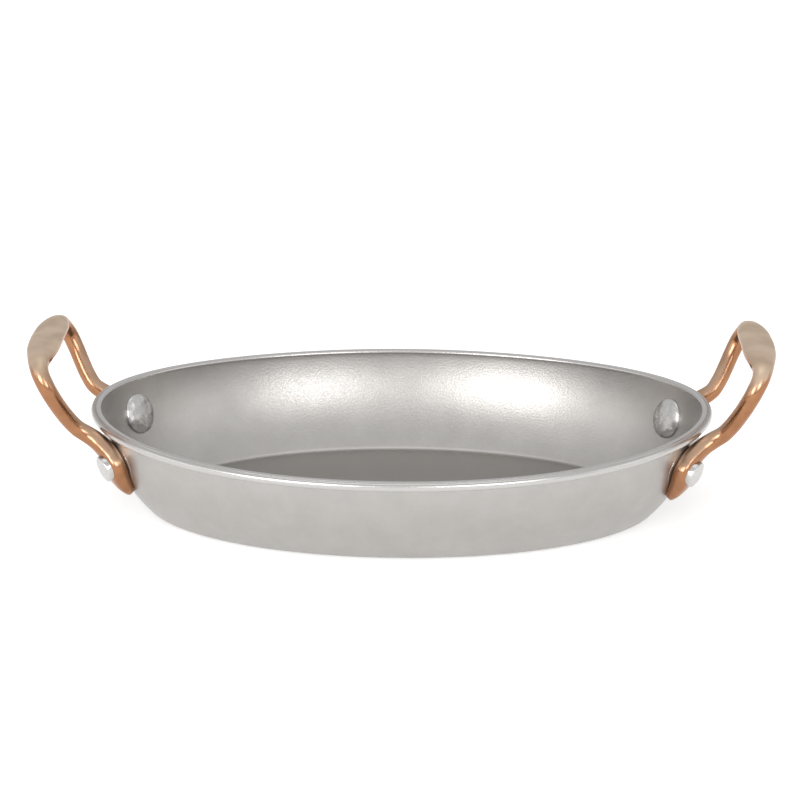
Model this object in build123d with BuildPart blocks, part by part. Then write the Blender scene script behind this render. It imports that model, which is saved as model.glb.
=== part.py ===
from build123d import *
from math import cos, radians, sin, sqrt
import os

# Oval sheet-steel serving dish with two cast loop handles, each held by two rivets.
# Millimetres. Origin at the middle of the flat base, +X along the long axis, +Z up.

# Dish body
RIM_HALF_LENGTH = 120.0      # outside of the rolled rim, on the long axis
RIM_HALF_WIDTH = 79.4        # outside of the rolled rim, on the short axis
END_HEIGHT = 41.2            # top of the rim at the two ends
RIM_DIP = 3.3                # how much lower the rim is along the long sides
DIP_POWER = 3                # how late the rim climbs towards the ends
BEAD_WIDTH = 3.9             # rolled rim, measured outwards
BEAD_HEIGHT = 3.3
BEAD_ROUND = 1.5             # rounding of its two outer edges
TOP_INSET = 3.3              # the wall's outer face just under the rolled rim, from the rim's outside
BASE_INSET = 21.6            # where the wall's outer face would meet the ground
WALL_RADIUS = 65.0           # the wall bulges outwards, as an arc of this radius
SHEET = 1.0
BASE_RADIUS = 4.5            # outside corner between wall and floor

# Handles
BAR = 6.3                    # round legs of the loop
GRIP_WIDTH = 12.7            # flattened grip, across the bar
GRIP_THICKNESS = 4.2
FOOT_THICKNESS = 6.0
FOOT_RADIUS = 6.2            # the boss round the rivet
TOE_RADIUS = 5.0             # the rounded lower end of the foot
TOE_DROP = 10.0              # from the rivet down to the middle of the rounded end
TOE_THICKNESS = 2.6
NECK_RISE = 6.0              # from the rivet up to where the leg leaves the foot
NECK_RADIUS = 3.8
ROOT_RISE = 2.0              # the leg's middle line starts inside the foot, this far above the rivet
ROOT_DEPTH = 2.3             # and this far out from the wall
FOOT_SPLAY = 12.0            # degrees between the foot and the steepest line of the wall
FOOT_SINK = 5.0              # how deep the foot is made into the wall before it is trimmed to it
EDGE_ROUND = 1.4

# Rivets
RIVET_ANGLE = 21.3           # degrees round the oval, from the long axis
RIVET_HEIGHT = 26.2
SHANK_RADIUS = 3.0
HOLE_CLEARANCE = 0.05
INNER_HEAD_RADIUS = 8.0
INNER_HEAD_HEIGHT = 3.0
INNER_HEAD_SIDE = 1.3        # upright edge of the domed head
OUTER_HEAD_RADIUS = 5.2
OUTER_HEAD_HEIGHT = 2.2
OUTER_HEAD_SIDE = 0.9
SEAT_RADIUS = 5.6            # flat seat under the outer head
SEAT_CLEARANCE = 8.0         # what is cut away above that seat
HOLE_REACH = 30.0            # length of the cylinders that cut the rivet holes

GROOVE_END = END_HEIGHT - BEAD_HEIGHT
GROOVE_SIDE = GROOVE_END - RIM_DIP
FORM_TOP = END_HEIGHT + 4.0
FORM_STEPS = 6               # spans of the wall's smooth shape


def arc_centre(groove):
    """Centre of the wall's arc, as (inset, height), for a rolled rim that starts at this height."""
    run = BASE_INSET - TOP_INSET
    chord = sqrt(run ** 2 + groove ** 2)
    reach = sqrt(WALL_RADIUS ** 2 - chord ** 2 / 4)
    return (TOP_INSET + BASE_INSET) / 2 + reach * groove / chord, groove / 2 + reach * run / chord


def wall_inset(groove, height, depth):
    """How far in the wall is at a height, depth mm under its outer face."""
    centre_inset, centre_height = arc_centre(groove)
    return centre_inset - sqrt((WALL_RADIUS - depth) ** 2 - (height - centre_height) ** 2)


def wall_radii(height, depth=0.0):
    """Half length and half width of the wall's oval at a height."""
    length = RIM_HALF_LENGTH - wall_inset(GROOVE_END, height, depth)
    width = RIM_HALF_WIDTH - wall_inset(GROOVE_SIDE, height, depth)
    return length, width


def wall_point(turn, height):
    """A point of the wall's outer face, turn degrees round the oval."""
    length, width = wall_radii(height)
    return Vector(length * cos(radians(turn)), width * sin(radians(turn)), height)


def rim_top(x):
    """Height of the rim at a place along the long axis."""
    reach = min(abs(x) / RIM_HALF_LENGTH, 1.1)
    return END_HEIGHT - RIM_DIP * (1 - reach ** DIP_POWER)


def mirrored(vector, side_x, side_y):
    return Vector(side_x * vector.X, side_y * vector.Y, vector.Z)


# The rear right rivet: its place on the wall, and the wall's own directions there.
rivet_point = wall_point(RIVET_ANGLE, RIVET_HEIGHT)
round_wall = wall_point(RIVET_ANGLE + 1, RIVET_HEIGHT) - wall_point(RIVET_ANGLE - 1, RIVET_HEIGHT)
up_wall = wall_point(RIVET_ANGLE, RIVET_HEIGHT + 1) - wall_point(RIVET_ANGLE, RIVET_HEIGHT - 1)
wall_out = round_wall.cross(up_wall).normalized()
level = Vector(0, 0, 1).cross(wall_out).normalized()
steepest = wall_out.cross(level)
foot_down = -steepest * cos(radians(FOOT_SPLAY)) - level * sin(radians(FOOT_SPLAY))


def make_form(bottom, depth, corner):
    """The wall's shape as a filled solid, taller than the rim."""
    with BuildPart() as form:
        for step in range(FORM_STEPS + 1):
            height = bottom + (FORM_TOP - bottom) * step / FORM_STEPS
            with BuildSketch(Plane.XY.offset(height)):
                Ellipse(*wall_radii(height, depth))
        loft()
        fillet(form.edges().group_by(Axis.Z)[0], corner)
    return form.part


outer_form = make_form(0.0, 0.0, BASE_RADIUS)
inner_form = make_form(SHEET, SHEET, BASE_RADIUS - SHEET)

# Rolled rim: a ring that follows the dip of the rim, made as a quarter and mirrored.
quarter_places = [RIM_HALF_LENGTH * step / 6 for step in range(7)]
end_slope = RIM_DIP * DIP_POWER / RIM_HALF_LENGTH

with BuildPart() as rolled_rim:
    with BuildSketch(Plane.XZ):
        with BuildLine():
            top_line = Spline(*[(x, rim_top(x)) for x in quarter_places], tangents=[(1, 0), (1, end_slope)])
            low_line = Spline(
                *[(x, rim_top(x) - BEAD_HEIGHT) for x in quarter_places],
                tangents=[(1, 0), (1, end_slope)],
            )
            Line(top_line @ 0, low_line @ 0)
            Line(top_line @ 1, low_line @ 1)
        make_face()
    extrude(amount=-RIM_HALF_WIDTH)
    with BuildSketch(Plane.XY):
        Ellipse(RIM_HALF_LENGTH, RIM_HALF_WIDTH)
        Ellipse(RIM_HALF_LENGTH - 2 * BEAD_WIDTH, RIM_HALF_WIDTH - 2 * BEAD_WIDTH, mode=Mode.SUBTRACT)
    extrude(amount=2 * END_HEIGHT, mode=Mode.INTERSECT)
    long_edges = rolled_rim.edges().filter_by(lambda edge: edge.length > RIM_HALF_WIDTH)
    fillet(long_edges.sort_by(SortBy.LENGTH)[-2:], BEAD_ROUND)
    mirror(about=Plane.XZ)
    mirror(about=Plane.YZ)

# Everything above the middle of the rolled rim, where the wall's sheet ends inside it.
trim_reach = RIM_HALF_LENGTH + 6.0
trim_places = [trim_reach * step / 6 for step in range(-6, 7)]
trim_top = FORM_TOP + 4.0

with BuildPart() as above_rim:
    with BuildSketch(Plane.XZ):
        with BuildLine():
            edge_line = Spline(*[(x, rim_top(x) - BEAD_HEIGHT / 2) for x in trim_places])
            Polyline(edge_line @ 1, (trim_reach, trim_top), (-trim_reach, trim_top), edge_line @ 0)
        make_face()
    extrude(amount=trim_reach, both=True)

with BuildPart() as dish_body:
    add(outer_form)
    add(above_rim.part, mode=Mode.SUBTRACT)
    add(rolled_rim.part)
    add(inner_form, mode=Mode.SUBTRACT)
    for side_x in (1, -1):
        for side_y in (1, -1):
            place = mirrored(rivet_point, side_x, side_y)
            with Locations(Plane(place, z_dir=mirrored(wall_out, side_x, side_y))):
                Cylinder(SHANK_RADIUS + HOLE_CLEARANCE, HOLE_REACH / 3, mode=Mode.SUBTRACT)


toe_end = TOE_DROP + TOE_RADIUS
neck_end = NECK_RISE + NECK_RADIUS
foot_plane = Plane(rivet_point, x_dir=foot_down, z_dir=wall_out)

# The flattened foot round the rear rivet: a boss, a neck above it and a thinner toe below.
with BuildPart() as foot:
    with BuildSketch(foot_plane.offset(-FOOT_SINK)):
        Circle(FOOT_RADIUS)
        with Locations((TOE_DROP, 0)):
            Circle(TOE_RADIUS)
        with Locations((-NECK_RISE, 0)):
            Circle(NECK_RADIUS)
        make_hull()
    extrude(amount=FOOT_SINK + FOOT_THICKNESS)
    fillet(foot.faces().sort_by(Axis(rivet_point, wall_out))[-1].edges(), EDGE_ROUND)
    # in this section X runs down the foot and Y runs outwards from the wall
    with BuildSketch(Plane(rivet_point, x_dir=foot_down, z_dir=foot_down.cross(wall_out))):
        with BuildLine():
            Polyline(
                (SEAT_RADIUS, FOOT_THICKNESS),
                (-neck_end, FOOT_THICKNESS),
                (-neck_end, -FOOT_SINK),
                (toe_end, -FOOT_SINK),
                (toe_end, TOE_THICKNESS - SHEET),
            )
            TangentArc((SEAT_RADIUS, FOOT_THICKNESS), (toe_end, TOE_THICKNESS - SHEET), tangent=(1, 0))
        make_face()
    extrude(amount=FOOT_RADIUS, both=True, mode=Mode.INTERSECT)

# The loop's middle line, from the rear foot over the grip to the front foot.
leg_root = rivet_point + wall_out * ROOT_DEPTH - foot_down * ROOT_RISE
rear_leg = [
    (leg_root.X, leg_root.Y, leg_root.Z),
    (117.4, 25.5, 35.5),
    (121.8, 25.3, 38.4),
    (125.0, 26.8, 42.4),
    (127.5, 29.0, 47.0),
    (130.1, 31.2, 52.5),
    (132.7, 31.9, 58.0),
    (134.8, 29.3, 62.3),
    (135.8, 20.5, 65.6),
]
grip_middle = (136.45, 0.0, 66.3)
front_leg = [(x, -y, z) for x, y, z in reversed(rear_leg)]
SECTIONS = 33
LEG_SHARE = 0.30             # share of the line, from each end, that stays round
GRIP_SHARE = 0.42            # where the grip has reached its full width

with BuildLine() as loop_line:
    Spline(*rear_leg, grip_middle, *front_leg)

with BuildPart() as loop_bar:
    for index in range(SECTIONS):
        share = index / (SECTIONS - 1)
        near = min(share, 1 - share)
        blend = min(max((near - LEG_SHARE) / (GRIP_SHARE - LEG_SHARE), 0), 1)
        blend = blend * blend * (3 - 2 * blend)
        width = BAR + (GRIP_WIDTH - BAR) * blend
        thickness = BAR + (GRIP_THICKNESS - BAR) * blend
        along = loop_line.line % share
        across = Vector(1, 0, 0) - along * along.X
        with BuildSketch(Plane(loop_line.line @ share, x_dir=across, z_dir=along)):
            Ellipse(width / 2, thickness / 2)
    loft()

# The rear half of the handle, fitted to the wall and drilled, and then its mirror image.
with BuildPart() as handle_right:
    add(loop_bar.part)
    add(foot.part)
    add(outer_form, mode=Mode.SUBTRACT)
    split(bisect_by=Plane.XZ, keep=Keep.BOTTOM)
    with Locations(foot_plane):
        Cylinder(SHANK_RADIUS + HOLE_CLEARANCE, HOLE_REACH, mode=Mode.SUBTRACT)
    with Locations(foot_plane.offset(FOOT_THICKNESS + SEAT_CLEARANCE / 2)):
        Cylinder(SEAT_RADIUS, SEAT_CLEARANCE, mode=Mode.SUBTRACT)
    mirror(about=Plane.XZ)

with BuildPart() as handle_left:
    mirror(handle_right.part, about=Plane.YZ)


def make_rivet(side_x, side_y):
    """One rivet: domed head inside the dish, shank, flatter head on the handle's foot."""
    centre = mirrored(rivet_point, side_x, side_y)
    outward = mirrored(wall_out, side_x, side_y)
    along_wall = Vector(0, 0, 1).cross(outward).normalized()
    # in this section X runs along the wall and Y runs outwards through it
    section = Plane(centre, x_dir=along_wall, z_dir=along_wall.cross(outward))
    inner_edge = -SHEET - INNER_HEAD_SIDE
    inner_crown = -SHEET - INNER_HEAD_HEIGHT
    outer_edge = FOOT_THICKNESS + OUTER_HEAD_SIDE
    outer_crown = FOOT_THICKNESS + OUTER_HEAD_HEIGHT
    with BuildPart() as rivet:
        with BuildSketch(section):
            with BuildLine():
                Polyline((0, inner_crown), (0, -SHEET / 2), (INNER_HEAD_RADIUS, -SHEET / 2))
                Line((INNER_HEAD_RADIUS, -SHEET / 2), (INNER_HEAD_RADIUS, inner_edge))
                Spline((INNER_HEAD_RADIUS, inner_edge), (0, inner_crown), tangents=[(-0.5, -1), (-1, 0)])
            make_face()
        revolve(axis=Axis(centre, outward))
        add(inner_form, mode=Mode.INTERSECT)
        with BuildSketch(section):
            with BuildLine():
                Polyline((0, inner_edge), (0, outer_crown))
                Spline((0, outer_crown), (OUTER_HEAD_RADIUS, outer_edge), tangents=[(1, 0), (0.5, -1)])
                Polyline(
                    (OUTER_HEAD_RADIUS, outer_edge),
                    (OUTER_HEAD_RADIUS, FOOT_THICKNESS),
                    (SHANK_RADIUS, FOOT_THICKNESS),
                    (SHANK_RADIUS, inner_edge),
                    (0, inner_edge),
                )
            make_face()
        revolve(axis=Axis(centre, outward))
    return rivet.part


os.makedirs("parts", exist_ok=True)

dish_body.part.label = "dish_body"
export_step(dish_body.part, "parts/dish_body.step")
handle_right.part.label = "handle_right"
export_step(handle_right.part, "parts/handle_right.step")
handle_left.part.label = "handle_left"
export_step(handle_left.part, "parts/handle_left.step")

for end_name, side_x in (("left", -1), ("right", 1)):
    for row_name, side_y in (("front", -1), ("rear", 1)):
        rivet_part = make_rivet(side_x, side_y)
        rivet_part.label = f"rivet_{end_name}_{row_name}"
        export_step(rivet_part, f"parts/{rivet_part.label}.step")
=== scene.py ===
"""Looks for an oval steel serving dish with two riveted, copper-coloured loop handles.

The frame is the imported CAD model. Lengths in the shape sections are millimetres and are turned
into metres when a mesh is made.
"""

import math

import bpy
import numpy as np
from mathutils import Matrix, Vector, noise


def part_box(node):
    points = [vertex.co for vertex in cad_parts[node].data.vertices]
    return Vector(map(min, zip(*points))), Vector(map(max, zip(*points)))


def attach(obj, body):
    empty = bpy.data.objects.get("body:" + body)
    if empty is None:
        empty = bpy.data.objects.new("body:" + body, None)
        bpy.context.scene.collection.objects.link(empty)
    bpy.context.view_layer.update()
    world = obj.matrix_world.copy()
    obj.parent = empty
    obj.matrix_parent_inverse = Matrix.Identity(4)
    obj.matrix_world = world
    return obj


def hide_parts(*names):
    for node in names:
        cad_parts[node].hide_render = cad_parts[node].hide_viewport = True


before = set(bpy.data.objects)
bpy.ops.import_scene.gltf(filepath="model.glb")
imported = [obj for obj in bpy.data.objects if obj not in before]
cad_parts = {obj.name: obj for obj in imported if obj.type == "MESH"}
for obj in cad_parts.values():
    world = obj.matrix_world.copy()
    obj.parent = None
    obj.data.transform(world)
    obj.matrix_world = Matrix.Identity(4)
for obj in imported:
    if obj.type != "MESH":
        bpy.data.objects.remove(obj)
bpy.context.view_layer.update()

MM = 0.001

# ---------------------------------------------------------------- sizes, from the frame

dish_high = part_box("dish_body")[1]
HALF_LENGTH = dish_high.x / MM
HALF_WIDTH = dish_high.y / MM
END_HEIGHT = dish_high.z / MM
RIM_DIP = 3.3                # the rim is this much lower along the long sides
DIP_POWER = 3                # how late the rim climbs towards the ends
BEAD_HEIGHT = 3.3
TOP_INSET = 3.3              # the wall's outer face under the rolled rim, from the rim's outside
BASE_INSET = 21.6            # where the wall's outer face would meet the ground
WALL_RADIUS = 65.0           # the wall bulges outwards, as an arc of this radius
BASE_RADIUS = 4.5            # outside corner between wall and floor
SHEET = 1.0

GROOVE_END = END_HEIGHT - BEAD_HEIGHT
GROOVE_SIDE = GROOVE_END - RIM_DIP

RIVET_ANGLE = math.radians(21.3)  # round the oval, from the long axis
RIVET_HEIGHT = 26.2
FOOT_THICKNESS = 6.0

ENDS = {"left": -1, "right": 1}
ROWS = {"front": -1, "rear": 1}


def unit(vector):
    return vector / np.linalg.norm(vector)


def rim_top(x):
    """Height of the rim at a place along the long axis."""
    reach = np.minimum(np.abs(x) / HALF_LENGTH, 1.0)
    return END_HEIGHT - RIM_DIP * (1 - reach**DIP_POWER)


def smooth_step(x):
    """Goes from 0 to 1 without a kink as x goes from 0 to 1."""
    x = np.clip(x, 0, 1)
    return x * x * (3 - 2 * x)


# ---------------------------------------------------------------- mesh helpers


def make_mesh(name, points, faces, material, node):
    """A smooth mesh piece from points in millimetres. It stands for one CAD node."""
    mesh = bpy.data.meshes.new(name)
    mesh.from_pydata([Vector(p) * MM for p in points], [], faces)
    mesh.update()
    mesh.shade_smooth()
    mesh.materials.append(material)
    piece = bpy.data.objects.new(name, mesh)
    bpy.context.scene.collection.objects.link(piece)
    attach(piece, "root")
    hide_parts(node)
    return piece


def ring_faces(rings, size, flip=False):
    """Quads between rings of points that follow each other."""
    faces = []
    for ring in range(rings - 1):
        for i in range(size):
            j = (i + 1) % size
            a, b = ring * size + i, ring * size + j
            c, d = b + size, a + size
            faces.append((a, d, c, b) if flip else (a, b, c, d))
    return faces


# ---------------------------------------------------------------- dish body

TURNS = 384
CORNER_STEPS = 10
WALL_STEPS = 24
SHEET_END_DROP = 1.5         # where the inside of the wall turns into the rolled rim, below its top
ROLL_RADIUS = 1.35           # the roll is an ellipse, a little higher than it is wide
ROLL_HALF_HEIGHT = 1.6
ROLL_STEPS = 16
ROLL_START = 84.0            # degrees above level, then downwards round the outside
ROLL_TURN = 11.6             # degrees for each step
FLOOR_SHARES = [0.0004, 0.08, 0.2, 0.32, 0.44, 0.55, 0.65, 0.74, 0.82, 0.88, 0.93, 0.965, 0.985]


def arc_centre(groove):
    """Centre of the wall's arc, as (inset, height), for a rolled rim that starts at this height."""
    run = BASE_INSET - TOP_INSET
    chord = np.sqrt(run**2 + groove**2)
    reach = np.sqrt(WALL_RADIUS**2 - chord**2 / 4)
    return (TOP_INSET + BASE_INSET) / 2 + reach * groove / chord, groove / 2 + reach * run / chord


def bead_section():
    """The rolled rim: (inset from its outside, drop below its top), from inside to outside."""
    flange = [(4.0, 1.0), (3.95, 0.6), (3.84, 0.3), (3.66, 0.1), (3.4, 0.02), (3.0, 0.0), (2.5, 0.0)]
    crease = [(2.1, 0.0), (1.9, 0.05), (1.76, 0.22), (1.66, 0.5), (1.56, 0.54), (1.46, 0.4), (1.36, 0.14)]
    roll = []
    for step in range(ROLL_STEPS):
        angle = math.radians(ROLL_START - step * ROLL_TURN)
        inset = ROLL_RADIUS * (1 - math.cos(angle))
        drop = BEAD_HEIGHT / 2 - ROLL_HALF_HEIGHT * math.sin(angle)
        roll.append((inset, drop))
    underside = [(1.9, 3.27), (2.5, 3.2), (2.9, 3.02), (3.12, 2.72), (3.22, 2.6)]
    return [*flange, *crease, *roll, *underside]


def dish_rings():
    """Rings of points: floor, inside corner, inside wall, rolled rim, outside wall, base."""
    turn = np.linspace(0, 2 * math.pi, TURNS, endpoint=False)
    cos, sin = np.cos(turn), np.sin(turn)

    def ring(inset, height):
        height = np.broadcast_to(height, cos.shape)
        return np.stack([(HALF_LENGTH - inset) * cos, (HALF_WIDTH - inset) * sin, height], 1)

    top = rim_top(HALF_LENGTH * cos)
    centre_inset, centre_height = arc_centre(top - BEAD_HEIGHT)
    corner_reach = WALL_RADIUS - BASE_RADIUS
    corner_inset = centre_inset - np.sqrt(corner_reach**2 - (BASE_RADIUS - centre_height) ** 2)
    corner_turn = np.arcsin((centre_height - BASE_RADIUS) / corner_reach)

    def wall(share, depth, upper_drop):
        """The wall at a share of its arc, depth mm under its outer face; it ends below the rim's top."""
        radius = WALL_RADIUS - depth
        upper_turn = np.arcsin((centre_height - top + upper_drop) / radius)
        angle = corner_turn + (upper_turn - corner_turn) * share
        return ring(centre_inset - radius * np.cos(angle), centre_height - radius * np.sin(angle))

    def corner(share, depth):
        """The rounded corner between floor and wall."""
        angle = math.pi / 2 + (corner_turn - math.pi / 2) * share
        radius = BASE_RADIUS - depth
        return ring(corner_inset - radius * np.cos(angle), BASE_RADIUS - radius * np.sin(angle))

    def flat(share, edge):
        """The floor, at a share of the way from its middle to its edge."""
        middle = edge * share
        middle[:, 2] = edge[0, 2]
        return middle

    inside = [flat(share, corner(0.0, SHEET)) for share in FLOOR_SHARES]
    inside += [corner(step / CORNER_STEPS, SHEET) for step in range(CORNER_STEPS + 1)]
    inside += [wall(step / WALL_STEPS, SHEET, SHEET_END_DROP) for step in range(1, WALL_STEPS + 1)]
    rim = [ring(inset, top - drop) for inset, drop in bead_section()]
    outside = [wall(step / WALL_STEPS, 0.0, BEAD_HEIGHT) for step in range(WALL_STEPS, 0, -1)]
    outside += [corner(step / CORNER_STEPS, 0.0) for step in range(CORNER_STEPS, -1, -1)]
    outside += [flat(share, corner(0.0, 0.0)) for share in reversed(FLOOR_SHARES)]
    return inside, rim, outside


def make_dish(material):
    inside, rim, outside = dish_rings()
    rings = [*inside, *rim, *outside]
    points = np.concatenate(rings)
    faces = ring_faces(len(rings), TURNS)
    count = len(points)
    faces += [tuple(range(TURNS))[::-1], tuple(range(count - TURNS, count))]
    dish = make_mesh("dish", points, faces, material, "dish_body")
    # for the material: how far each ring is from the middle of the floor, along the section, and which
    # rings are the polished rim (also given a painted sheen) and the flat floor inside (painted shade)
    steps = [0.0, *(float(np.linalg.norm(b[0] - a[0])) for a, b in zip(rings, rings[1:]))]
    travel = np.repeat(np.cumsum(steps) * MM, TURNS)
    polish_and_painted_sheen = np.repeat([0.0] * len(inside) + [1.0] * len(rim) + [0.0] * len(outside), TURNS)
    flat = np.repeat([1.0] * len(FLOOR_SHARES) + [0.0] * (len(rings) - len(FLOOR_SHARES)), TURNS)
    for name, values in (("travel", travel), ("polish_and_painted_sheen", polish_and_painted_sheen), ("flat", flat)):
        layer = dish.data.attributes.new(name, "FLOAT", "POINT")
        layer.data.foreach_set("value", values.astype(np.float32))
    return dish


# ---------------------------------------------------------------- where the rivets sit


def wall_point(turn, height):
    """A point of the wall's outer face, at a turn round the oval."""
    radii = []
    for half_size, groove in ((HALF_LENGTH, GROOVE_END), (HALF_WIDTH, GROOVE_SIDE)):
        centre_inset, centre_height = arc_centre(groove)
        radii.append(half_size - centre_inset + math.sqrt(WALL_RADIUS**2 - (height - centre_height) ** 2))
    return np.array([radii[0] * math.cos(turn), radii[1] * math.sin(turn), height])


RIVET = wall_point(RIVET_ANGLE, RIVET_HEIGHT)
ROUND_WALL = wall_point(RIVET_ANGLE + 0.01, RIVET_HEIGHT) - wall_point(RIVET_ANGLE - 0.01, RIVET_HEIGHT)
UP_WALL = wall_point(RIVET_ANGLE, RIVET_HEIGHT + 0.5) - wall_point(RIVET_ANGLE, RIVET_HEIGHT - 0.5)
OUTWARD = unit(np.cross(ROUND_WALL, UP_WALL))
LEVEL = unit(np.cross([0, 0, 1], OUTWARD))
UPWARD = np.cross(OUTWARD, LEVEL)


# ---------------------------------------------------------------- handles

FOOT_SPLAY = math.radians(12)  # between the foot and the steepest line of the wall
FOOT_SINK = 0.7              # how far the foot is let into the sheet, so that no gap shows
SECTION_STEPS = 48
PATH_STEPS = 300
SPLINE_STEPS = 60
TURN_START = 1.0             # in foot lengths from the toe: the section turns from the wall's direction
TURN_LENGTH = 1.2            # to the long axis's over this stretch
ROUND_START = 0.95           # and changes from the foot's squarer outline to a round one over this one
ROUND_LENGTH = 1.1
GRIP_START = 60.0            # height where the leg starts to change into the grip
GRIP_RISE = 6.0
# foot: distance down the wall from the rivet, thickness, half width
FOOT = [
    (15.4, 1.5, 0.5),
    (15.0, 2.2, 1.9),
    (13.8, 3.1, 3.5),
    (11.5, 4.2, 4.8),
    (8.0, 5.4, 5.5),
    (4.0, 6.0, 6.1),
    (0.0, 6.0, 6.3),
]
# leg and grip: middle of the bar, how far it reaches outwards and inwards from there, half thickness
LOOP = [
    (110.1, 27.8, 28.2, 3.1, 3.8, 5.3),
    (112.5, 26.8, 31.0, 3.1, 3.9, 4.3),
    (115.4, 25.6, 33.6, 3.1, 3.8, 3.6),
    (118.7, 24.8, 35.9, 3.15, 3.5, 3.3),
    (122.3, 25.1, 38.6, 3.15, 3.2, 3.15),
    (125.1, 26.8, 42.5, 3.15, 3.15, 3.15),
    (127.5, 29.0, 47.0, 3.15, 3.15, 3.15),
    (130.1, 31.2, 52.5, 3.15, 3.2, 3.2),
    (132.7, 31.9, 58.0, 3.2, 3.3, 3.3),
    (134.8, 29.6, 62.3, 3.5, 3.3, 3.4),
    (135.7, 25.6, 64.5, 4.1, 3.7, 3.1),
    (135.9, 21.0, 65.6, 5.0, 4.8, 2.7),
    (135.7, 14.0, 66.2, 6.4, 5.6, 2.4),
    (135.3, 7.0, 66.3, 7.3, 5.4, 2.2),
    (135.2, 0.0, 66.3, 7.6, 5.2, 2.2),
]


def spline(points, count):
    """Even points along a smooth curve through rows of a place and other values."""
    points = np.array(points, float)
    gaps = np.linalg.norm(np.diff(points[:, :3], axis=0), axis=1)
    chord = np.concatenate([[0], np.cumsum(gaps)])
    tangents = np.gradient(points, chord, axis=0)
    fine = []
    for i in range(len(points) - 1):
        gap = gaps[i]
        for u in np.linspace(0, 1, SPLINE_STEPS, endpoint=False):
            ends = (2 * u**3 - 3 * u**2 + 1) * points[i] + (3 * u**2 - 2 * u**3) * points[i + 1]
            pull = (u**3 - 2 * u**2 + u) * tangents[i] + (u**3 - u**2) * tangents[i + 1]
            fine.append(ends + gap * pull)
    fine.append(points[-1])
    fine = np.array(fine)
    along = np.concatenate([[0], np.cumsum(np.linalg.norm(np.diff(fine[:, :3], axis=0), axis=1))])
    even = np.linspace(0, along[-1], count)
    return np.stack([np.interp(even, along, fine[:, k]) for k in range(fine.shape[1])], 1), even


def foot_rows():
    """The foot follows the bulging wall: rows like those of the loop, toe first."""
    down = -UPWARD * math.cos(FOOT_SPLAY) - LEVEL * math.sin(FOOT_SPLAY)
    rows = []
    for drop, thickness, half_width in FOOT:
        bend = drop / WALL_RADIUS
        surface = RIVET + down * drop - OUTWARD * drop * bend / 2
        outward = unit(OUTWARD + down * bend)
        middle = surface + outward * thickness / 2
        rows.append((*middle, thickness / 2, thickness / 2 + FOOT_SINK, half_width))
    return rows


def handle_half():
    """Section rings of the rear half of the right handle, toe first."""
    rows, along = spline([*foot_rows(), *LOOP], PATH_STEPS)
    path = rows[:, :3]
    tangent = np.gradient(path, axis=0)
    tangent /= np.linalg.norm(tangent, axis=1)[:, None]
    from_toe = along / FOOT[0][0]
    on_foot = 1 - smooth_step((from_toe - ROUND_START) / ROUND_LENGTH)
    turned = smooth_step((from_toe - TURN_START) / TURN_LENGTH)[:, None]
    across = OUTWARD * (1 - turned) + np.array([1.0, 0, 0]) * turned
    on_grip = smooth_step((path[:, 2] - GRIP_START) / GRIP_RISE)

    rings = []
    for i, centre in enumerate(path):
        outward = unit(across[i] - tangent[i] * np.dot(across[i], tangent[i]))
        side = np.cross(tangent[i], outward)
        reach_out, reach_in, half = rows[i, 3:]
        # a power of 2 gives an ellipse, and more gives a squarer outline
        power_out = 2 + 0.9 * on_foot[i] + 0.15 * on_grip[i]
        power_in = 2 + 3.0 * on_foot[i] + 0.35 * on_grip[i]
        ring = []
        for k in range(SECTION_STEPS):
            angle = 2 * math.pi * k / SECTION_STEPS
            c, s = math.cos(angle), math.sin(angle)
            power, reach = (power_out, reach_out) if c > 0 else (power_in, reach_in)
            u = reach * math.copysign(abs(c) ** (2 / power), c)
            v = half * math.copysign(abs(s) ** (2 / power), s)
            ring.append(centre + outward * u + side * v)
        rings.append(np.array(ring))
    return rings


def make_handle(end, material):
    """One handle: the rear half of the loop, and its mirror image in front."""
    rear = handle_half()
    flip_y = np.array([1, -1, 1])
    front = [ring * flip_y for ring in reversed(rear[:-1])]
    points = np.concatenate([*rear, *front])
    faces = ring_faces(len(rear) + len(front), SECTION_STEPS)
    count = len(points)
    faces += [tuple(range(SECTION_STEPS))[::-1], tuple(range(count - SECTION_STEPS, count))]
    if ENDS[end] < 0:
        points = points * np.array([-1, 1, 1])
        faces = [face[::-1] for face in faces]
    return make_mesh(f"handle_{end}_cast", points, faces, material, f"handle_{end}")


# ---------------------------------------------------------------- rivets

LATHE_STEPS = 64
DOME_STEPS = 18
# radius, height, upright edge, skirt sunk below the seat
INNER_HEAD = (8.0, 2.6, 0.7, 0.6)
OUTER_HEAD = (5.2, 2.2, 0.9, 1.2)
# depth and size of the dents
INNER_DENTS = (0.3, 4.6)
OUTER_DENTS = (0.12, 3.4)
DENT_START = 0.4             # the dents leave the edge near the seat alone


def head_outline(radius, height, side, skirt):
    """A domed head: (distance from the axis, height over its seat), from the skirt to the crown."""
    outline = [(radius * 0.99, -skirt), (radius, 0.0), (radius, side * 0.6)]
    rise = height - side
    for step in range(DOME_STEPS + 1):
        angle = math.pi / 2 * step / DOME_STEPS
        outline.append((radius * math.cos(angle) ** 0.8, side + rise * math.sin(angle) ** 0.85))
    outline[-1] = (0.002, outline[-1][1])
    return outline


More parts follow.
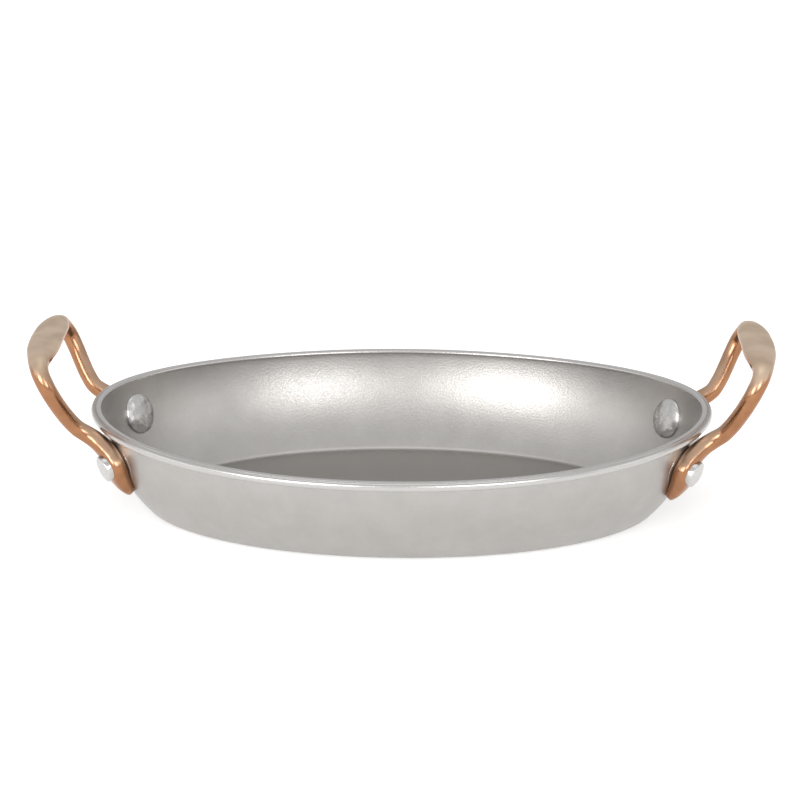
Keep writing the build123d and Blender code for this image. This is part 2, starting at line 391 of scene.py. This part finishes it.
def make_rivet(end, row, material):
    """One rivet: both heads, with the shallow dents that peening leaves."""
    sign = np.array([ENDS[end], ROWS[row], 1])
    centre = RIVET * sign
    outward = OUTWARD * sign
    across = unit(np.cross([0, 0, 1], outward))
    up = np.cross(outward, across)
    seed = Vector((7.0 * ENDS[end], 11.0 * ROWS[row], 3.0))
    points, faces = [], []

    def lathe(head, origin, axis, dents):
        """Turns a head's outline round the axis and dents it."""
        start = len(points)
        outline = head_outline(*head)
        depth, size = dents
        for radius, height in outline:
            for k in range(LATHE_STEPS):
                angle = 2 * math.pi * k / LATHE_STEPS
                spread = across * math.cos(angle) + up * math.sin(angle)
                place = origin + spread * radius + axis * height
                if height > DENT_START:
                    bump = noise.noise(Vector(place) / size + seed)
                    bump += 0.5 * noise.noise(Vector(place) / (size * 0.45) + seed)
                    place = place + axis * depth * bump
                points.append(place)
        flip = np.dot(np.cross(across, up), axis) < 0
        for face in ring_faces(len(outline), LATHE_STEPS, flip=flip):
            faces.append(tuple(start + i for i in face))

    lathe(INNER_HEAD, centre - outward * SHEET, -outward, INNER_DENTS)
    lathe(OUTER_HEAD, centre + outward * FOOT_THICKNESS, outward, OUTER_DENTS)
    name = f"rivet_{end}_{row}"
    return make_mesh(f"{name}_heads", points, faces, material, name)


# ---------------------------------------------------------------- materials


class Nodes:
    """A short way to write a node tree."""

    def __init__(self, name):
        self.material = bpy.data.materials.new(name)
        self.material.use_nodes = True
        self.tree = self.material.node_tree
        self.shader = self.tree.nodes["Principled BSDF"]

    def add(self, kind, **settings):
        node = self.tree.nodes.new(kind)
        for key, value in settings.items():
            setattr(node, key, value)
        return node

    def link(self, source, target):
        self.tree.links.new(source, target)

    def math(self, operation, a, b=None):
        node = self.add("ShaderNodeMath", operation=operation)
        for socket, value in zip(node.inputs, (a, b)):
            if value is None:
                continue
            if isinstance(value, (int, float)):
                socket.default_value = value
            else:
                self.link(value, socket)
        return node.outputs[0]

    def position(self):
        """Place on the object, in metres."""
        return self.add("ShaderNodeTexCoord").outputs["Object"]

    def attribute(self, name):
        """A value that the mesh carries at its points."""
        return self.add("ShaderNodeAttribute", attribute_name=name).outputs["Fac"]

    def axes(self, vector):
        """The X, Y and Z of a vector, as sockets by name."""
        split = self.add("ShaderNodeSeparateXYZ")
        self.link(vector, split.inputs["Vector"])
        return split.outputs

    def multiply_add(self, value, factor, addend):
        """value * factor + addend; the addend is a number or a socket."""
        result = self.math("MULTIPLY_ADD", value, factor)
        if isinstance(addend, (int, float)):
            result.node.inputs[2].default_value = addend
        else:
            self.link(addend, result.node.inputs[2])
        return result

    def noise(self, vector, scale, detail=3.0, roughness=0.55):
        node = self.add("ShaderNodeTexNoise")
        node.inputs["Scale"].default_value = scale
        node.inputs["Detail"].default_value = detail
        node.inputs["Roughness"].default_value = roughness
        self.link(vector, node.inputs["Vector"])
        return node.outputs["Fac"]

    def ramp(self, factor, *stops):
        """A colour ramp; each stop is (place, grey value or colour)."""
        node = self.add("ShaderNodeValToRGB")
        elements = node.color_ramp.elements
        while len(elements) < len(stops):
            elements.new(0.5)
        for element, (place, colour) in zip(elements, stops):
            element.position = place
            grey = isinstance(colour, (int, float))
            element.color = (colour, colour, colour, 1) if grey else (*colour, 1)
        self.link(factor, node.inputs["Fac"])
        return node.outputs["Color"]

    def mix(self, factor, a, b):
        """Mixes two colours; each is a colour or a socket."""
        node = self.add("ShaderNodeMix", data_type="RGBA")
        self.link(factor, node.inputs["Factor"])
        for socket, value in ((node.inputs[6], a), (node.inputs[7], b)):
            if isinstance(value, tuple):
                socket.default_value = (*value, 1)
            else:
                self.link(value, socket)
        return node.outputs[2]

    def bump(self, height, strength, distance, normal=None):
        node = self.add("ShaderNodeBump")
        node.inputs["Strength"].default_value = strength
        node.inputs["Distance"].default_value = distance
        self.link(height, node.inputs["Height"])
        if normal is not None:
            self.link(normal, node.inputs["Normal"])
        return node.outputs["Normal"]


def steel_material():
    """Stone-washed satin steel: fine speckle and faint polishing lines; a smoother rim with a painted
    sheen, and a floor painted darker as shade.
    """
    n = Nodes("stone_washed_steel")
    n.shader.inputs["Metallic"].default_value = 1.0
    place = n.position()
    speckle = n.noise(place, 1150, 2.0, 0.6)
    patches = n.noise(place, 90, 3.0, 0.6)
    polish_and_painted_sheen = n.attribute("polish_and_painted_sheen")
    # the lines run along the rim: close together across it, far apart along it
    where = n.axes(place)
    lines_place = n.add("ShaderNodeCombineXYZ")
    n.link(n.math("MULTIPLY", where["X"], 14.0), lines_place.inputs["X"])
    n.link(n.math("MULTIPLY", where["Y"], 14.0), lines_place.inputs["Y"])
    n.link(n.math("MULTIPLY", n.attribute("travel"), 1900.0), lines_place.inputs["Z"])
    lines = n.noise(lines_place.outputs["Vector"], 1.0, 2.0, 0.6)
    sheet = n.ramp(patches, (0.3, (0.42, 0.406, 0.39)), (0.7, (0.46, 0.446, 0.429)))
    # painted shade: the flat floor inside gets a darker steel colour than the wall
    colour = n.mix(n.attribute("flat"), sheet, (0.385, 0.373, 0.36))
    # painted sheen: the rim gets a brighter steel colour than the sheet; its smoother polish is real and
    # comes from the roughness below
    colour = n.mix(polish_and_painted_sheen, colour, (0.53, 0.517, 0.504))
    colour = n.mix(n.math("MULTIPLY", lines, 0.2), colour, (0.36, 0.345, 0.33))
    n.link(colour, n.shader.inputs["Base Color"])
    grain = n.math("MULTIPLY", speckle, n.math("SUBTRACT", 1.0, polish_and_painted_sheen))
    n.link(n.multiply_add(grain, 0.22, 0.26), n.shader.inputs["Roughness"])
    bumped = n.bump(grain, 0.5, 0.0001)
    bumped = n.bump(lines, 0.3, 0.00003, bumped)
    n.link(bumped, n.shader.inputs["Normal"])
    return n.material


def copper_material():
    """Cast copper-coloured metal: polished round legs; a matte top on the grip, painted paler as painted
    light where it faces upwards.
    """
    n = Nodes("copper_casting")
    n.shader.inputs["Metallic"].default_value = 1.0
    place = n.position()
    facing = n.axes(n.add("ShaderNodeNewGeometry").outputs["Normal"])
    blotch = n.noise(place, 160, 3.0)
    # painted light: faces turned upwards get a paler colour, as if lit from above
    facing_up = n.ramp(n.multiply_add(blotch, 0.3, facing["Z"]), (0.32, 0.0), (0.75, 1.0))
    # height in decimetres, with an uneven edge, so that the painted light and the matte finish fade down
    # the legs
    height = n.multiply_add(blotch, 0.05, n.math("MULTIPLY", n.axes(place)["Z"], 10.0))
    on_grip = n.ramp(height, (0.625, 0.45), (0.685, 1.0))
    painted_light_and_matte = n.math("MULTIPLY", facing_up, on_grip)
    copper = n.ramp(blotch, (0.3, (0.32, 0.152, 0.078)), (0.7, (0.40, 0.195, 0.10)))
    # the paler colour painted on as light on the upward faces of the grip; the same mask makes them matte
    grip = n.ramp(n.noise(place, 75, 2.0), (0.38, (0.54, 0.41, 0.30)), (0.62, (0.66, 0.52, 0.395)))
    n.link(n.mix(painted_light_and_matte, copper, grip), n.shader.inputs["Base Color"])
    n.link(n.multiply_add(painted_light_and_matte, 0.26, 0.2), n.shader.inputs["Roughness"])
    grain = n.noise(place, 900, 2.0)
    waves = n.noise(place, 220, 2.0)
    bumped = n.bump(grain, 0.2, 0.00004)
    bumped = n.bump(waves, 0.25, 0.00025, bumped)
    n.link(bumped, n.shader.inputs["Normal"])
    return n.material


def rivet_material():
    """Brighter steel, smoother than the sheet, with small hammer marks."""
    n = Nodes("rivet_steel")
    n.shader.inputs["Metallic"].default_value = 1.0
    place = n.position()
    patches = n.noise(place, 300, 3.0)
    colour = n.ramp(patches, (0.3, (0.52, 0.51, 0.50)), (0.7, (0.60, 0.59, 0.58)))
    n.link(colour, n.shader.inputs["Base Color"])
    n.link(n.multiply_add(patches, 0.2, 0.16), n.shader.inputs["Roughness"])
    marks = n.noise(place, 520, 2.0)
    n.link(n.bump(marks, 0.35, 0.0003), n.shader.inputs["Normal"])
    return n.material


def floor_material():
    """Plain pale paper."""
    n = Nodes("pale_floor")
    n.shader.inputs["Roughness"].default_value = 0.9
    n.shader.inputs["Specular IOR Level"].default_value = 0.0
    grain = n.noise(n.position(), 40, 2.0)
    n.link(n.ramp(grain, (0.0, 0.80), (1.0, 0.82)), n.shader.inputs["Base Color"])
    # the paper is lit from below as well, as on a light table
    n.shader.inputs["Emission Color"].default_value = (1, 1, 1, 1)
    n.shader.inputs["Emission Strength"].default_value = 0.42
    return n.material


# ---------------------------------------------------------------- the object

steel = steel_material()
copper = copper_material()
rivet_steel = rivet_material()

make_dish(steel)
for end in ENDS:
    make_handle(end, copper)
    for row in ROWS:
        make_rivet(end, row, rivet_steel)

# ---------------------------------------------------------------- floor, light and camera

# metres from here on
FLOOR_REACH = 3.0
FLOOR_GAP = 0.0002           # keeps the paper clear of the dish's base
AIM = (0, 0, 0.02)
# place, aim, width, height, power in watts
LIGHTS = {
    "softbox_left": ((-0.56, -1.00, 0.47), AIM, 0.60, 0.42, 5.0),
    "softbox_right": ((0.42, -1.05, 0.50), AIM, 0.50, 0.42, 3.1),
    "side_left": ((-1.15, -0.42, 0.42), AIM, 0.7, 0.5, 0.9),
    "side_right": ((1.15, -0.42, 0.42), AIM, 0.7, 0.5, 0.8),
    "overhead": ((0, 0.2, 2.0), (0, 0, 0), 1.2, 1.2, 3.0),
}
FRONT_GLOW, BACK_GLOW = 0.86, 0.74
FADE_END = 0.7               # how far round to the back the glow stops fading
CAMERA_TURN, CAMERA_DIP, CAMERA_ROLL = (math.radians(angle) for angle in (-1.36, 19.2, 0.07))
CAMERA_DISTANCE = 1.050
CAMERA_RAISED, CAMERA_SHIFTED = 0.04005, -0.0004
SENSOR_WIDTH, FOCAL_LENGTH = 36.0, 120.5  # millimetres


def make_floor():
    mesh = bpy.data.meshes.new("floor")
    corners = [(-1, -1), (1, -1), (1, 1), (-1, 1)]
    mesh.from_pydata([(x * FLOOR_REACH, y * FLOOR_REACH, 0) for x, y in corners], [], [(0, 1, 2, 3)])
    mesh.materials.append(floor_material())
    floor = bpy.data.objects.new("floor", mesh)
    floor.location.z = -FLOOR_GAP
    bpy.context.scene.collection.objects.link(floor)


def area_light(name, place, aim, width, height, power):
    """A rectangular soft light."""
    light = bpy.data.lights.new(name, "AREA")
    light.shape = "RECTANGLE"
    light.size, light.size_y = width, height
    light.energy = power
    lamp = bpy.data.objects.new(name, light)
    lamp.location = place
    lamp.rotation_euler = (Vector(aim) - Vector(place)).to_track_quat("-Z", "Y").to_euler()
    bpy.context.scene.collection.objects.link(lamp)


def make_world():
    """Soft light from all round, brighter from the front than from behind."""
    world = bpy.data.worlds.new("studio")
    world.use_nodes = True
    tree = world.node_tree
    background = tree.nodes["Background"]
    coordinates = tree.nodes.new("ShaderNodeTexCoord")
    split = tree.nodes.new("ShaderNodeSeparateXYZ")
    fade = tree.nodes.new("ShaderNodeMapRange")
    fade.interpolation_type = "SMOOTHSTEP"
    fade.inputs["From Min"].default_value = 0.0
    fade.inputs["From Max"].default_value = FADE_END
    fade.inputs["To Min"].default_value = FRONT_GLOW
    fade.inputs["To Max"].default_value = BACK_GLOW
    tree.links.new(coordinates.outputs["Generated"], split.inputs["Vector"])
    tree.links.new(split.outputs["Y"], fade.inputs["Value"])
    tree.links.new(fade.outputs["Result"], background.inputs["Color"])
    bpy.context.scene.world = world


def make_camera():
    """The camera stands in front of the dish and a little to its right, looking down at it."""
    ahead = np.array([math.sin(CAMERA_TURN), math.cos(CAMERA_TURN), 0.0])
    forward = ahead * math.cos(CAMERA_DIP) - np.array([0, 0, math.sin(CAMERA_DIP)])
    level = np.array([math.cos(CAMERA_TURN), -math.sin(CAMERA_TURN), 0.0])
    upright = np.cross(level, forward)
    right = math.cos(CAMERA_ROLL) * level + math.sin(CAMERA_ROLL) * upright
    up = math.cos(CAMERA_ROLL) * upright - math.sin(CAMERA_ROLL) * level
    place = right * CAMERA_SHIFTED + up * CAMERA_RAISED - forward * CAMERA_DISTANCE
    camera_data = bpy.data.cameras.new("camera")
    camera_data.sensor_width = SENSOR_WIDTH
    camera_data.lens = FOCAL_LENGTH
    camera = bpy.data.objects.new("camera", camera_data)
    camera.matrix_world = Matrix(
        [
            [right[0], up[0], -forward[0], place[0]],
            [right[1], up[1], -forward[1], place[1]],
            [right[2], up[2], -forward[2], place[2]],
            [0, 0, 0, 1],
        ]
    )
    bpy.context.scene.collection.objects.link(camera)
    bpy.context.scene.camera = camera


make_floor()
make_world()
for name, settings in LIGHTS.items():
    area_light(name, *settings)
make_camera()
bpy.context.scene.view_settings.view_transform = "Standard"
